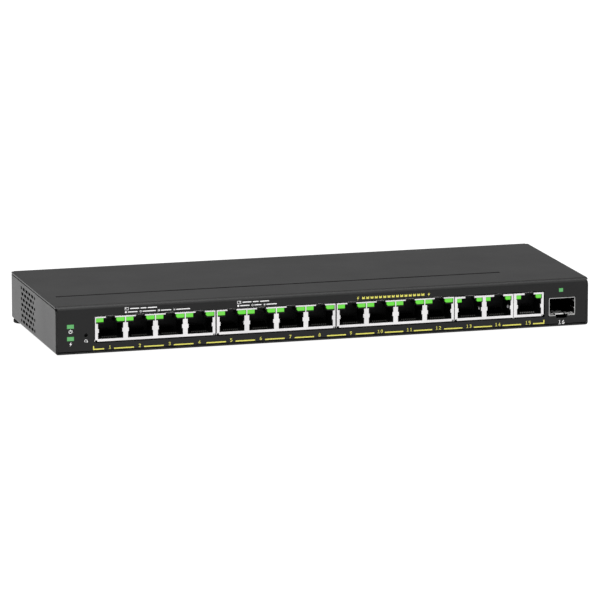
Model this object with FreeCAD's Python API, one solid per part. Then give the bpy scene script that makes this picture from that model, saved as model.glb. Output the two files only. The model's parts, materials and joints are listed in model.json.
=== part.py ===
import FreeCAD, Part
import math
import os

os.makedirs("parts", exist_ok=True)
V = FreeCAD.Vector

# ---------------------------------------------------------------- dimensions
# Millimetres.  Heights in this list are measured from the underside of the
# case; everything is lifted by FOOT_H when it is written, so the finished
# model stands on z = 0.
CASE_W = 286.65           # width of the case, along X
MID = -0.325              # middle of the case, from the datum of the front features
CASE_D = 101.0            # depth of the case, along Y
CASE_H = 25.1             # height of the case without the feet
SHEET = 1.0               # steel sheet
FOOT_H = 1.5              # rubber feet below the case
FOOT_R = 5.3
FEET = [(MID - 138.0, 45.1), (MID + 138.0, 45.1), (MID - 126.0, -35.0), (MID + 126.0, -35.0)]

BASE_R = 1.6              # outer bend of the base into sides and rear
CORNER_R = 1.75           # outer bend of the sides into the rear panel
TRAY_H = 23.6             # top edge of the tray's walls
LID_Z = 24.1              # underside of the top plate
TOP_BEND_R = 2.2          # outer bend of the top plate into the front panel
PANEL_Y = -50.4           # outer face of the front panel
PANEL_X = 142.22          # half width of the front panel between the sides
PANEL_Z0 = 1.08           # lower edge of the front panel
SOFT = 0.3                # rolled edge of the sheet

GROOVE_Y = -23.6          # pressed line across the top plate
GROOVE_X = (-137.0, 103.0)
GROOVE_W = 2.2
GROOVE_T = 0.45

PORT_PITCH = 15.8
SHIELD_T = 0.25
SHIELD_D = 16.0
SHIELD_Z0 = 6.05
SOCKET_W = 13.3
SOCKET_Z0 = 7.35
SOCKET_Z1 = 15.4
SOCKET_DEPTH = 13.0
CONTACT_PITCH = 1.02
# name, left edge, right edge, socket centres, style
GANGS = [
    ("1_4", -122.95, -59.20, [-114.75, -98.95, -83.15, -67.35], "wide"),
    ("5_8", -58.55, 5.12, [-50.40, -34.60, -18.80, -3.00], "wide"),
    ("9_12", 5.76, 69.40, [13.90, 29.70, 45.50, 61.30], "wide"),
    ("13_14", 69.78, 101.88, [78.00, 93.80], "narrow"),
    ("15", 102.10, 118.60, [110.50], "narrow"),
]
# style: shield top, top of light window, half width of light window,
#        half width of latch notch, lights from/to (x offset), lights z
STYLE = {
    "wide": (19.0, 18.25, 7.62, 2.45, (3.50, 7.59), (15.95, 18.05)),
    "narrow": (18.8, 17.75, 7.02, 2.50, (4.20, 6.90), (15.55, 17.55)),
}
LIGHT_SETBACK = 0.8     # the light heads sit this far behind the shield face
LIGHT_HEAD = 1.7        # depth of a head; behind it the pipe is narrower and walled in
LIGHT_WALL = 0.7

CUT_X = (-123.55, 119.20)      # window for the sockets
CUT_Z = (5.30, 19.40)

BOARD_Z = (4.0, 5.6)
BOARD_X = 138.0
BOARD_Y = (-48.9, 46.0)
STANDOFFS = [(-132.0, -28.0), (-91.05, -23.0), (-26.7, -23.0), (37.6, -23.0),
             (-132.0, 40.0), (-45.0, 40.0), (45.0, 40.0), (130.0, 40.0)]

CAGE_X = (121.5, 135.9)        # module cage
CAGE_Z = (5.68, 15.25)
CAGE_Y1 = -2.4
CAGE_T = 0.3
LATCH_X = (125.5, 131.5)
LATCH_TURN_Y = -39.0           # root of the latch leaf
LATCH_TIP_Y = -46.9            # its free end
LATCH_Z = 5.90

STATUS_WIN = (3.6, 2.1)        # windows of the two status lights
STATUS_X = -135.8
POWER_Z = 14.55
POE_Z = 8.20
MODULE_WIN = (2.2, 1.9)
MODULE_LIGHT = (128.1, 19.3)
RESET_X = -127.75
RESET_Z = 9.75
RESET_HOLE_R = 1.0
RESET_TRAVEL = 0.5
PLUNGER_R = 1.5

VENT_Z0 = 3.50
VENT_DZ = 2.88
VENT_ROWS = 7
VENT_DY = 6.45
VENT_L = 4.7
VENT_H = 1.6

KEYHOLES = [(MID - 85.0, 6.0), (MID + 85.0, 6.0)]
KEY_R = 4.0
KEY_SLOT = 2.1
KEY_LEN = 7.5

INLET_X = -112.0
INLET_Z = 11.6
INLET_BORE_R = 3.2
LOCK_X = 96.0
LOCK_Z = 12.0

COVER_SCREW_X = [MID - 104.0, MID, MID + 104.0]
COVER_SCREW_Y = -44.6
REAR_SCREW_X = [MID - 70.0, MID + 70.0]
REAR_SCREW_Z = 21.2
SCREW_R = 1.45


# ---------------------------------------------------------------- helpers
def box(x0, x1, y0, y1, z0, z1):
    return Part.makeBox(x1 - x0, y1 - y0, z1 - z0, V(x0, y0, z0))


def cyl(x, y, z, r, h, d=(0, 0, 1)):
    return Part.makeCylinder(r, h, V(x, y, z), V(*d))


def cone(x, y, z, r1, r2, h, d=(0, 0, 1)):
    return Part.makeCone(r1, r2, h, V(x, y, z), V(*d))


def prism_x(pts, x0, x1):
    """Closed outline in (y, z), run along X."""
    w = Part.makePolygon([V(x0, p[0], p[1]) for p in pts + pts[:1]])
    return Part.Face(w).extrude(V(x1 - x0, 0, 0))


def prism_z(pts, z0, z1):
    w = Part.makePolygon([V(p[0], p[1], z0) for p in pts + pts[:1]])
    return Part.Face(w).extrude(V(0, 0, z1 - z0))


def slot_x(y, z, length, height, x0, x1):
    """Round-ended slot seen along X."""
    r = height / 2.0
    h = max(length / 2.0 - r, 0.01)
    a, b = V(x0, y - h, z - r), V(x0, y + h, z - r)
    c, d = V(x0, y + h, z + r), V(x0, y - h, z + r)
    e = [Part.makeLine(a, b), Part.Arc(b, V(x0, y + h + r, z), c).toShape(),
         Part.makeLine(c, d), Part.Arc(d, V(x0, y - h - r, z), a).toShape()]
    return Part.Face(Part.Wire(e)).extrude(V(x1 - x0, 0, 0))


def near(a, b, tol=0.02):
    return abs(a - b) < tol


def pick(shape, test):
    out = []
    for e in shape.Edges:
        b = e.BoundBox
        if test(b):
            out.append(e)
    return out


def soften(shape, radius, test, label):
    edges = pick(shape, test)
    if not edges:
        print("no edge:", label)
        return shape
    for r in (radius, radius * 0.7, radius * 0.4):
        try:
            s = shape.makeFillet(r, edges)
            if s.isValid() and s.Volume > 0:
                return s
        except Exception:
            pass
    print("not softened:", label)
    return shape


def fuse(parts):
    s = parts[0]
    if len(parts) > 1:
        s = s.multiFuse(parts[1:])
    return s.removeSplitter()


def write(name, shapes):
    if not isinstance(shapes, (list, tuple)):
        shapes = [shapes]
    solids = []
    for s in shapes:
        solids.extend(s.Solids)
    out = solids[0] if len(solids) == 1 else Part.makeCompound(solids)
    out = out.copy()
    out.translate(V(-MID, 0, FOOT_H))
    ok = all(s.isValid() for s in out.Solids)
    b = out.BoundBox
    print("%-22s solids %3d valid %s  %.2f %.2f %.2f | %.2f %.2f %.2f"
          % (name, len(out.Solids), ok, b.XMin, b.YMin, b.ZMin,
             b.XMax, b.YMax, b.ZMax))
    out.exportStep("parts/" + name + ".step")


HW = CASE_W / 2.0
HD = CASE_D / 2.0

# ---------------------------------------------------------------- lower tray
outer = box(-HW, HW, -HD, HD, 0, TRAY_H)
outer = outer.makeFillet(CORNER_R, pick(outer, lambda b: near(b.YMin, HD) and near(b.YMax, HD)
                                        and near(b.XMin, b.XMax) and b.ZLength > 10))
outer = outer.makeFillet(BASE_R, pick(outer, lambda b: near(b.ZMin, 0, .01) and near(b.ZMax, 0, .01)
                                      and not (near(b.YMin, -HD) and near(b.YMax, -HD))))
inner = box(-HW + SHEET, HW - SHEET, -HD - 20, HD - SHEET, SHEET, 40)
inner = inner.makeFillet(CORNER_R - SHEET, pick(inner, lambda b: near(b.YMin, HD - SHEET) and near(b.YMax, HD - SHEET)
                                                and near(b.XMin, b.XMax) and b.ZLength > 10))
inner = inner.makeFillet(BASE_R - SHEET, pick(inner, lambda b: near(b.ZMin, SHEET, .01) and near(b.ZMax, SHEET, .01)
                                              and not near(b.YMax, -HD - 20)))
tray = outer.cut(inner)
# rounded top front corners of the side walls
rc = 2.3
corner = box(-HW - 1, HW + 1, -HD - 1, -HD + rc, TRAY_H - rc, TRAY_H + 1)
corner = corner.cut(cyl(-HW - 2, -HD + rc, TRAY_H - rc, rc, CASE_W + 4, (1, 0, 0)))
tray = tray.cut(corner)
# vents in both sides
vents = []
for i in range(VENT_ROWS):
    z = VENT_Z0 + VENT_DZ * i
    if i % 2 == 0:
        row = [(20.8 - VENT_DY * k, VENT_L) for k in range(4)] + [(26.15, 2.7), (-3.7, 2.5)]
    else:
        row = [(24.0 - VENT_DY * k, VENT_L) for k in range(4)] + [(-0.8, 2.7)]
    for (y, l) in row:
        vents.append(slot_x(y, z, l, VENT_H, -HW - 2, -HW + 2))
        vents.append(slot_x(y, z, l, VENT_H, HW - 2, HW + 2))
tray = tray.cut(Part.makeCompound(vents))
# rolled front edge of the base
rf = 0.7
corner = box(-HW - 1, HW + 1, -HD - 1, -HD + rf, -1, rf)
corner = corner.cut(cyl(-HW - 2, -HD + rf, rf, rf, CASE_W + 4, (1, 0, 0)))
tray = tray.cut(corner)
tray.translate(V(MID, 0, 0))
# rear panel: inlet, lock slot, countersunk screw holes
tools = [box(INLET_X - 5.0, INLET_X + 5.0, HD - 3, HD + 2, 5.4, 17.3)]
lk = box(LOCK_X - 3.5, LOCK_X + 3.5, HD - 3, HD + 2, LOCK_Z - 1.5, LOCK_Z + 1.5)
lk = lk.makeFillet(0.8, pick(lk, lambda b: b.YLength > 4))
tools.append(lk)
for x in REAR_SCREW_X:
    tools.append(cyl(x, HD - 3, REAR_SCREW_Z, 1.6, 6, (0, 1, 0)))
    tools.append(cone(x, HD - 1.1, REAR_SCREW_Z, 1.65, 2.95, 1.3, (0, 1, 0)))
# base: screw holes, keyholes
for x in COVER_SCREW_X:
    tools.append(cyl(x, COVER_SCREW_Y, -2, 1.6, 6))
    tools.append(cone(x, COVER_SCREW_Y, -0.2, 2.95, 1.65, 1.25))
for (x, y) in KEYHOLES:
    tools.append(cyl(x, y, -2, KEY_R, 6))
    tools.append(box(x - KEY_SLOT, x + KEY_SLOT, y, y + KEY_LEN, -2, 4))
    tools.append(cyl(x, y + KEY_LEN, -2, KEY_SLOT, 6))
tray = tray.cut(Part.makeCompound(tools))
write("lower_tray", tray)

# ---------------------------------------------------------------- upper shell
R, r = TOP_BEND_R, TOP_BEND_R - SHEET
yo, yi = PANEL_Y, PANEL_Y + SHEET
zt = CASE_H
rb, rbi = 0.9, 0.25       # small bend of the panel into its lower flange
k = math.sqrt(0.5)
pts = {}
x0 = -HW
e = []
cy, cz = yo + R, zt - R
by, bz = yo + rb, PANEL_Z0 + rb
fy, fz = yi + rbi, PANEL_Z0 + SHEET + rbi


def P(y, z):
    return V(x0, y, z)


e.append(Part.makeLine(P(yo, bz), P(yo, cz)))
e.append(Part.Arc(P(yo, cz), P(cy - R * k, cz + R * k), P(cy, zt)).toShape())
e.append(Part.makeLine(P(cy, zt), P(HD, zt)))
e.append(Part.makeLine(P(HD, zt), P(HD, LID_Z)))
e.append(Part.makeLine(P(HD, LID_Z), P(cy, LID_Z)))
e.append(Part.Arc(P(cy, LID_Z), P(cy - r * k, cz + r * k), P(yi, cz)).toShape())
e.append(Part.makeLine(P(yi, cz), P(yi, fz)))
e.append(Part.Arc(P(yi, fz), P(fy - rbi * k, fz - rbi * k), P(fy, PANEL_Z0 + SHEET)).toShape())
e.append(Part.makeLine(P(fy, PANEL_Z0 + SHEET), P(-40.4, PANEL_Z0 + SHEET)))
e.append(Part.makeLine(P(-40.4, PANEL_Z0 + SHEET), P(-40.4, PANEL_Z0)))
e.append(Part.makeLine(P(-40.4, PANEL_Z0), P(by, PANEL_Z0)))
e.append(Part.Arc(P(by, PANEL_Z0), P(by - rb * k, bz - rb * k), P(yo, bz)).toShape())
shell = Part.Face(Part.Wire(e)).extrude(V(CASE_W, 0, 0))
cuts = []
for s in (-1, 1):
    a, b = sorted((s * PANEL_X, s * (HW + 1)))
    cuts.append(box(a, b, -HD - 1, -30, -1, LID_Z))
    a, b = sorted((s * (HW - 1.5), s * (HW + 1)))
    cuts.append(box(a, b, HD - 1.4, HD + 1, LID_Z - 1, zt + 1))
    a, b = sorted((s * (PANEL_X - 0.8), s * (HW + 1)))
    c = box(a, b, -HD - 1, -39, -1, PANEL_Z0 + 0.8)
    cuts.append(c.cut(cyl(s * (PANEL_X - 0.8), -HD - 2, PANEL_Z0 + 0.8, 0.8, 20, (0, 1, 0))))
shell = shell.cut(Part.makeCompound(cuts))
# soft upper edges round the top plate
shell = soften(shell, SOFT, lambda b: near(b.ZMin, zt) and near(b.ZMax, zt)
               and (near(abs(b.XMin), HW) and near(abs(b.XMax), HW) and b.YLength > 60), "lid side edges")
shell = soften(shell, SOFT, lambda b: near(b.ZMin, zt) and near(b.ZMax, zt)
               and near(b.YMin, HD) and near(b.YMax, HD) and b.XLength > 200, "lid rear edge")
# inner side lips, rear flange
lips = []
for s in (-1, 1):
    a, b = sorted((s * 141.75, s * 140.75))
    lips.append(box(a, b, -46.5, 47.0, 21.75, LID_Z + 0.3))
lips.append(box(-139.0, 139.0, HD - 2.15, HD - 1.15, 18.6, LID_Z + 0.3))
shell = fuse([shell] + lips)
shell.translate(V(MID, 0, 0))
cuts = [box(CUT_X[0], CUT_X[1], -52, -48, CUT_Z[0], CUT_Z[1])]
cuts.append(box(CAGE_X[0] - 0.25, CAGE_X[1] + 0.25, -52, -48, CAGE_Z[0] - 0.25, CAGE_Z[1] + 0.25))
cuts.append(box(LATCH_X[0], LATCH_X[1], -52, -48, 4.3, CAGE_Z[0]))
for (x, z, w) in ((STATUS_X, POWER_Z, STATUS_WIN), (STATUS_X, POE_Z, STATUS_WIN),
                  (MODULE_LIGHT[0], MODULE_LIGHT[1], MODULE_WIN)):
    cuts.append(box(x - w[0] / 2 - 0.06, x + w[0] / 2 + 0.06, -52, -48, z - w[1] / 2 - 0.06, z + w[1] / 2 + 0.06))
cuts.append(cyl(RESET_X, -52, RESET_Z, RESET_HOLE_R, 4, (0, 1, 0)))
g = prism_x([(GROOVE_Y - GROOVE_W / 2 - 0.25, zt + 0.1), (GROOVE_Y - GROOVE_W / 2 + 0.2, zt - GROOVE_T),
             (GROOVE_Y + GROOVE_W / 2, zt - GROOVE_T), (GROOVE_Y + GROOVE_W / 2 + 0.1, zt + 0.1)], GROOVE_X[0], GROOVE_X[1])
cuts.append(g)
for x in REAR_SCREW_X:
    cuts.append(cyl(x, HD - 4, REAR_SCREW_Z, SCREW_R + 0.03, 3.2, (0, 1, 0)))
for x in COVER_SCREW_X:
    cuts.append(cyl(x, COVER_SCREW_Y, 0.5, SCREW_R + 0.03, 3))
shell = shell.cut(Part.makeCompound(cuts))
write("upper_shell", shell)

# ---------------------------------------------------------------- feet
feet = []
for (x, y) in FEET:
    f = cyl(x, y, -FOOT_H, FOOT_R, FOOT_H)
    f = soften(f, 0.45, lambda b: near(b.ZMin, -FOOT_H) and near(b.ZMax, -FOOT_H), "foot rim")
    feet.append(f)
write("rubber_feet", feet)

# ---------------------------------------------------------------- board and its carriers
write("pcb_standoffs", [cyl(x, y, SHEET, 2.6, BOARD_Z[0] - SHEET).cut(cyl(x, y, SHEET + 0.4, SCREW_R + 0.03, 5))
                        for (x, y) in STANDOFFS])
sheet = box(-136.0, 136.0, -38.0, 44.0, SHEET, SHEET + 0.25)
tools = [cyl(x, y, 0, 3.6, 3) for (x, y) in STANDOFFS]
for (x, y) in KEYHOLES:
    tools.append(box(x - 7, x + 7, y - 7, y + 14, 0, 3))
sheet = sheet.cut(Part.makeCompound(tools))
write("insulator_sheet", sheet)
board = box(-BOARD_X, BOARD_X, BOARD_Y[0], BOARD_Y[1], BOARD_Z[0], BOARD_Z[1])
board = board.cut(Part.makeCompound([cyl(x, y, 3, 1.7, 4) for (x, y) in STANDOFFS]
                                    + [box(LATCH_X[0] - 0.7, LATCH_X[1] + 0.7, -50, LATCH_TURN_Y + 2.0, 3, 7),
                                       box(CAGE_X[0] + 0.7, CAGE_X[1] - 0.7, -50, -46.4, 3, 7)]))
write("main_board", board)
screws = []
for (x, y) in STANDOFFS:
    h = cyl(x, y, BOARD_Z[1], 2.75, 1.6)
    h = soften(h, 0.5, lambda b: near(b.ZMin, BOARD_Z[1] + 1.6) and near(b.ZMax, BOARD_Z[1] + 1.6), "screw head")
    s = fuse([h, cyl(x, y, 1.8, SCREW_R, BOARD_Z[1] - 1.7)])
    s = s.cut(Part.makeCompound([box(x - 1.5, x + 1.5, y - 0.3, y + 0.3, BOARD_Z[1] + 0.8, 9),
                                 box(x - 0.3, x + 0.3, y - 1.5, y + 1.5, BOARD_Z[1] + 0.8, 9)]))
    screws.append(s)
write("board_screws", screws)

covers = []
for x in COVER_SCREW_X:
    s = fuse([cone(x, COVER_SCREW_Y, 0.03, 2.62, 1.55, 0.97), cyl(x, COVER_SCREW_Y, 0.5, SCREW_R, 3.0)])
    s = s.cut(Part.makeCompound([box(x - 1.6, x + 1.6, COVER_SCREW_Y - 0.3, COVER_SCREW_Y + 0.3, -1, 0.65),
                                 box(x - 0.3, x + 0.3, COVER_SCREW_Y - 1.6, COVER_SCREW_Y + 1.6, -1, 0.65)]))
    covers.append(s)
for x in REAR_SCREW_X:
    s = fuse([cone(x, HD - 1.12, REAR_SCREW_Z, 1.55, 2.62, 1.07, (0, 1, 0)),
              cyl(x, HD - 6.0, REAR_SCREW_Z, SCREW_R, 5.0, (0, 1, 0))])
    s = s.cut(Part.makeCompound([box(x - 1.6, x + 1.6, HD - 0.75, HD + 1, REAR_SCREW_Z - 0.3, REAR_SCREW_Z + 0.3),
                                 box(x - 0.3, x + 0.3, HD - 0.75, HD + 1, REAR_SCREW_Z - 1.6, REAR_SCREW_Z + 1.6)]))
    covers.append(s)
write("cover_screws", covers)

# ---------------------------------------------------------------- socket gangs
YF = PANEL_Y
YB = YF + SHIELD_D
for (name, gx0, gx1, centres, style) in GANGS:
    ZT, zwin, hwin, hnotch, lx, lz = STYLE[style]
    # shield: folded box, open below
    o = box(gx0, gx1, YF, YB, BOARD_Z[1] + 0.05, ZT)
    o = o.makeFillet(0.2, pick(o, lambda b: near(b.YMin, YF) and near(b.YMax, YF) and not near(b.ZMax, BOARD_Z[1] + 0.05)))
    i = box(gx0 + SHIELD_T, gx1 - SHIELD_T, YF + SHIELD_T, YB - SHIELD_T, 0, ZT - SHIELD_T)
    sh = o.cut(i)
    cuts = [box(gx0 - 1, gx1 + 1, YF - 1, YF + SHIELD_T, 0, SHIELD_Z0)]
    for c in centres:
        w = SOCKET_W / 2
        cuts.append(box(c - w, c + w, YF - 1, YF + 1, SOCKET_Z0, 10.6))
        cuts.append(box(c - w + 0.45, c + w - 0.45, YF - 1, YF + 1, 10.5, 12.7))
        cuts.append(box(c - w, c + w, YF - 1, YF + 1, 12.6, SOCKET_Z1))
        cuts.append(box(c - hwin, c + hwin, YF - 1, YF + 1, SOCKET_Z1 - 0.05, zwin))
        cuts.append(box(c - hnotch, c + hnotch, YF - 1, YF + 1.5, zwin - 0.1, ZT + 1))
    ends = []
    if name != "15":
        ends.append((gx0 - 1, gx0 + 1.2))
    if name != "13_14":
        ends.append((gx1 - 1.2, gx1 + 1))
    for (a, b) in ends:
        cuts.append(box(a, b, YF - 1, YF + 1.4, 0, 6.8))
    cuts.append(box(gx0 + 1, gx1 - 1, YB - 1, YB + 1, 0, 7.4))
    sh = sh.cut(Part.makeCompound(cuts))
    # grounding fingers that bow into each socket
    fingers = []
    for c in centres:
        for s in (-1, 1):
            xw = c + s * (SOCKET_W / 2)
            if style == "wide":
                line = [(0.45, 0.0), (0.42, 1.6), (0.36, 3.2), (0.30, 5.2), (0.22, 7.6)]
            else:
                line = [(0.45, 0.0), (0.26, 1.0), (0.22, 3.2), (0.34, 3.45), (0.56, 3.8), (0.60, 4.3),
                        (0.52, 4.9), (0.30, 5.6), (0.22, 7.6)]
            out = [(xw - s * d, YF + 0.05 + y) for (d, y) in line]
            back = [(xw - s * (d - 0.2), YF + 0.05 + y) for (d, y) in reversed(line)]
            fingers.append(prism_z(out + back, 10.6, 12.6))
    sh = fuse([sh] + fingers)
    write("jack_shield_" + name, sh)

    # housing
    hb = box(gx0 + SHIELD_T + 0.02, gx1 - SHIELD_T - 0.02, YF + SHIELD_T + 0.02, YB - SHIELD_T - 0.02,
             BOARD_Z[1], ZT - SHIELD_T - 0.02)
    cuts = []
    for c in centres:
        w = SOCKET_W / 2 + 0.02
        cuts.append(box(c - w, c + w, YF - 1, YF + SOCKET_DEPTH, SOCKET_Z0, SOCKET_Z1))
        cuts.append(box(c - lx[0] + 0.3, c + lx[0] - 0.3, YF - 1, YF + 9.5, SOCKET_Z1 - 0.1, zwin))
        cuts.append(box(c - lx[0], c + lx[0], YF - 1, YF + LIGHT_SETBACK + LIGHT_HEAD, SOCKET_Z1 - 0.1, zwin))
        cuts.append(box(c - hnotch, c + hnotch, YF - 1, YF + 7.5, zwin - 0.1, ZT - SHIELD_T - 0.3))
        for s in (-1, 1):
            a, b = sorted((c + s * (lx[0] - 0.05), c + s * (hwin - 0.01)))
            cuts.append(box(a, b, YF - 1, YF + LIGHT_SETBACK + LIGHT_HEAD + 0.02, lz[0] - 0.06, lz[1] + 0.06))
            a, b = sorted((c + s * (lx[0] + LIGHT_WALL), c + s * (lx[1] + 0.02)))
            cuts.append(box(a, b, YF + 1, YF + 10.4, lz[0] + 0.2, lz[1] - 0.2))
        for j in range(8):
            xj = c + (j - 3.5) * CONTACT_PITCH
            cuts.append(box(xj - 0.31, xj + 0.31, YF - 1, YF + SOCKET_DEPTH - 0.1, 6.95, SOCKET_Z0 + 0.1))
    cuts.append(box(gx0, gx1, YF, YF + 1.4, 0, 6.8).common(
        Part.makeCompound([box(gx0, gx0 + 1.2, -60, 0, 0, 9), box(gx1 - 1.2, gx1, -60, 0, 0, 9)])))
    hb = hb.cut(Part.makeCompound(cuts))
    write("jack_body_" + name, hb)

    # contact wires
    wires = []
    line = [(-49.6, 7.18), (-48.4, 7.24), (-41.4, 9.86), (-40.6, 9.90), (-38.9, 8.3), (-37.42, 7.9)]
    outline = [(y, z + 0.14) for (y, z) in line] + [(y, z - 0.14) for (y, z) in reversed(line)]
    for c in centres:
        for j in range(8):
            xj = c + (j - 3.5) * CONTACT_PITCH
            wires.append(prism_x(outline, xj - 0.23, xj + 0.23))
    write("jack_contacts_" + name, wires)

    # lights
    lights = []
    for c in centres:
        for s in (-1, 1):
            a, b = sorted((c + s * lx[0], c + s * lx[1]))
            l = box(a, b, YF + LIGHT_SETBACK, YF + LIGHT_SETBACK + LIGHT_HEAD, lz[0], lz[1])
            a, b = sorted((c + s * (lx[0] + LIGHT_WALL + 0.05), c + s * (lx[1] - 0.02)))
            l = fuse([l, box(a, b, YF + 1.2, YF + 10.3, lz[0] + 0.25, lz[1] - 0.25)])
            if s > 0:
                # the right-hand light has a bevelled inner lower corner
                xi, q = c + lx[0], (0.55 if style == "wide" else 0.35)
                w = Part.makePolygon([V(xi - 0.1, YF, lz[0] + q), V(xi - 0.1, YF, lz[0] - 0.1), V(xi + q, YF, lz[0] - 0.1),
                                      V(xi + q, YF, lz[0]), V(xi, YF, lz[0] + q), V(xi - 0.1, YF, lz[0] + q)])
                l = l.cut(Part.Face(w).extrude(V(0, 3, 0)))
            l = soften(l, 0.15, lambda q: near(q.YMin, YF + LIGHT_SETBACK) and near(q.YMax, YF + LIGHT_SETBACK), "light")
            lights.append(l)
    write("port_lights_" + name, lights)

# ---------------------------------------------------------------- module cage
cx0, cx1 = CAGE_X
cz0, cz1 = CAGE_Z
cage = box(cx0, cx1, YF + 0.05, CAGE_Y1, cz0, cz1)
cage = cage.makeFillet(0.5, pick(cage, lambda b: b.YLength > 20))
hollow = box(cx0 + CAGE_T, cx1 - CAGE_T, YF - 1, CAGE_Y1 - CAGE_T, cz0 + CAGE_T, cz1 - CAGE_T)
cage = cage.cut(hollow)
cuts = [box(LATCH_X[0] - 0.3, LATCH_X[1] + 0.3, YF - 1, LATCH_TURN_Y + 0.3, cz0 - 1, cz0 + CAGE_T + 0.05),
        box(cx0 + 1, cx1 - 1, -13.0, CAGE_Y1 - 1.2, cz0 - 1, cz0 + 1)]
# corner windows of the floor beside the latch
for (xa, xb) in ((cx0 + 0.9, LATCH_X[0] - 0.3), (cx1 - 0.9, LATCH_X[1] + 0.3)):
    cuts.append(prism_z([(xa, YF + 0.7), (xb, YF + 0.7), (xb, YF + 3.6), (xb + (xa - xb) * 0.35, YF + 3.6)], cz0 - 1, cz0 + CAGE_T + 0.05))
# punched holes in the roof and the sides
for j in range(5):
    for q in range(3):
        cuts.append(cyl(124.7 + 4.0 * q, -34.0 + 5.2 * j, cz1 - 1, 0.95, 2))
cage = cage.cut(Part.makeCompound(cuts))
write("sfp_cage", cage)

# latch leaf in the cage floor: a tongue with a catch window, free at the front
lw = LATCH_X
leaf = box(lw[0], lw[1], LATCH_TIP_Y, LATCH_TURN_Y, LATCH_Z - 0.2, LATCH_Z + 0.2)
leaf = leaf.makeFillet(0.8, pick(leaf, lambda b: near(b.YMin, LATCH_TIP_Y) and near(b.YMax, LATCH_TIP_Y) and b.ZLength > 0.3))
tri = prism_z([(127.0, -43.0), (130.0, -43.0), (128.5, -45.4)], LATCH_Z - 1, LATCH_Z + 1)
leaf = leaf.cut(tri)
write("sfp_latch", leaf)

# edge connector at the back of the cage
con = box(cx0 + 1.6, cx1 - 1.6, -12.8, -4.2, BOARD_Z[1], 13.2)
con = con.cut(box(cx0 + 2.4, cx1 - 2.4, -14.2, -6.2, 8.6, 10.4))
write("sfp_connector", con)

# grounding collar round the cage mouth, with fingers on the inside walls
ring = box(cx0 - 0.18, cx1 + 0.18, -49.2, -46.4, cz0 + 0.3, cz1 + 0.18).cut(
    box(cx0 - 0.001, cx1 + 0.001, -50, -46, cz0 - 1, cz1 + 0.001))
fing = [ring]
for s, xw in ((1, cx0 + CAGE_T), (-1, cx1 - CAGE_T)):
    for (za, zb) in ((9.1, 9.9), (12.9, 13.7)):
        line = [(0.02, 0.0), (0.30, 1.4), (0.50, 2.8), (0.42, 4.2), (0.02, 6.4)]
        o_ = [(xw + s * (d + 0.14), YF + 0.6 + y) for (d, y) in line]
        i_ = [(xw + s * d, YF + 0.6 + y) for (d, y) in reversed(line)]
        fing.append(prism_z(o_ + i_, za, zb))
write("sfp_ground_fingers", fing)

# ---------------------------------------------------------------- light pipes and lamps
FY = YF + 0.03


def rounded_front(s):
    return soften(s, 0.15, lambda q: near(q.YMin, FY) and near(q.YMax, FY), "pipe face")


w, h = STATUS_WIN
pw = fuse([box(STATUS_X - w / 2, STATUS_X + w / 2, FY, -44.6, POWER_Z - h / 2, POWER_Z + h / 2),
           box(STATUS_X - w / 2, STATUS_X + w / 2, -46.4, -44.6, 6.5, POWER_Z + h / 2)])
write("power_light_pipe", rounded_front(pw))
pp = fuse([box(STATUS_X - w / 2, STATUS_X + w / 2, FY, -47.2, POE_Z - h / 2, POE_Z + h / 2),
           box(STATUS_X - w / 2, STATUS_X + w / 2, -48.8, -47.2, 6.5, POE_Z + h / 2)])
write("poe_light_pipe", rounded_front(pp))
w, h = MODULE_WIN
mx, mz = MODULE_LIGHT
mp = fuse([box(mx - w / 2, mx + w / 2, FY, -30.0, mz - h / 2, mz + h / 2),
           box(119.25, mx + w / 2, -31.6, -30.0, mz - h / 2, mz + h / 2),
           box(119.25, 121.0, -31.6, -30.0, 6.5, mz + h / 2)])
write("sfp_light_pipe", rounded_front(mp))
write("status_leds", [box(STATUS_X - 0.8, STATUS_X + 0.8, -45.9, -45.1, BOARD_Z[1], 6.3),
                      box(STATUS_X - 0.8, STATUS_X + 0.8, -48.4, -47.6, BOARD_Z[1], 6.3),
                      box(119.7, 120.5, -31.6, -30.0, BOARD_Z[1], 6.3)])

# ---------------------------------------------------------------- reset switch
rx, rz = RESET_X, RESET_Z
sb = box(rx - 3.1, rx + 3.1, -44.2, -39.6, BOARD_Z[1], 13.4)
sb = sb.cut(Part.makeCompound([cyl(rx, -45.0, rz, PLUNGER_R + 0.06, 4.2, (0, 1, 0)),
                               cyl(rx, -43.3, rz, 2.26, 2.5, (0, 1, 0))]))
write("reset_switch", sb)
pl = fuse([cyl(rx, -47.6, rz, PLUNGER_R, 5.6, (0, 1, 0)), cyl(rx, -43.2, rz, 2.2, 1.2, (0, 1, 0))])
pl = soften(pl, 0.3, lambda b: near(b.YMin, -47.6) and near(b.YMax, -47.6), "plunger nose")
write("reset_plunger", pl)

# ---------------------------------------------------------------- power inlet
ix, iz = INLET_X, INLET_Z
inlet = box(ix - 4.8, ix + 4.8, 36.4, HD - 0.25, BOARD_Z[1], 17.0)
inlet = inlet.makeFillet(0.5, pick(inlet, lambda b: near(b.YMin, HD - 0.25) and near(b.YMax, HD - 0.25)))
inlet = inlet.cut(Part.makeCompound([cyl(ix, 39.8, iz, INLET_BORE_R, 20, (0, 1, 0)),
                                     cyl(ix, 38.0, iz, 1.02, 4, (0, 1, 0)),
                                     cone(ix, HD - 0.85, iz, INLET_BORE_R, INLET_BORE_R + 0.7, 0.7, (0, 1, 0))]))
write("dc_inlet", inlet)
pin = cyl(ix, 38.0, iz, 1.0, 10.6, (0, 1, 0))
pin = soften(pin, 0.6, lambda b: near(b.YMin, 48.6) and near(b.YMax, 48.6), "inlet pin")
write("dc_inlet_pin", pin)

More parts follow.
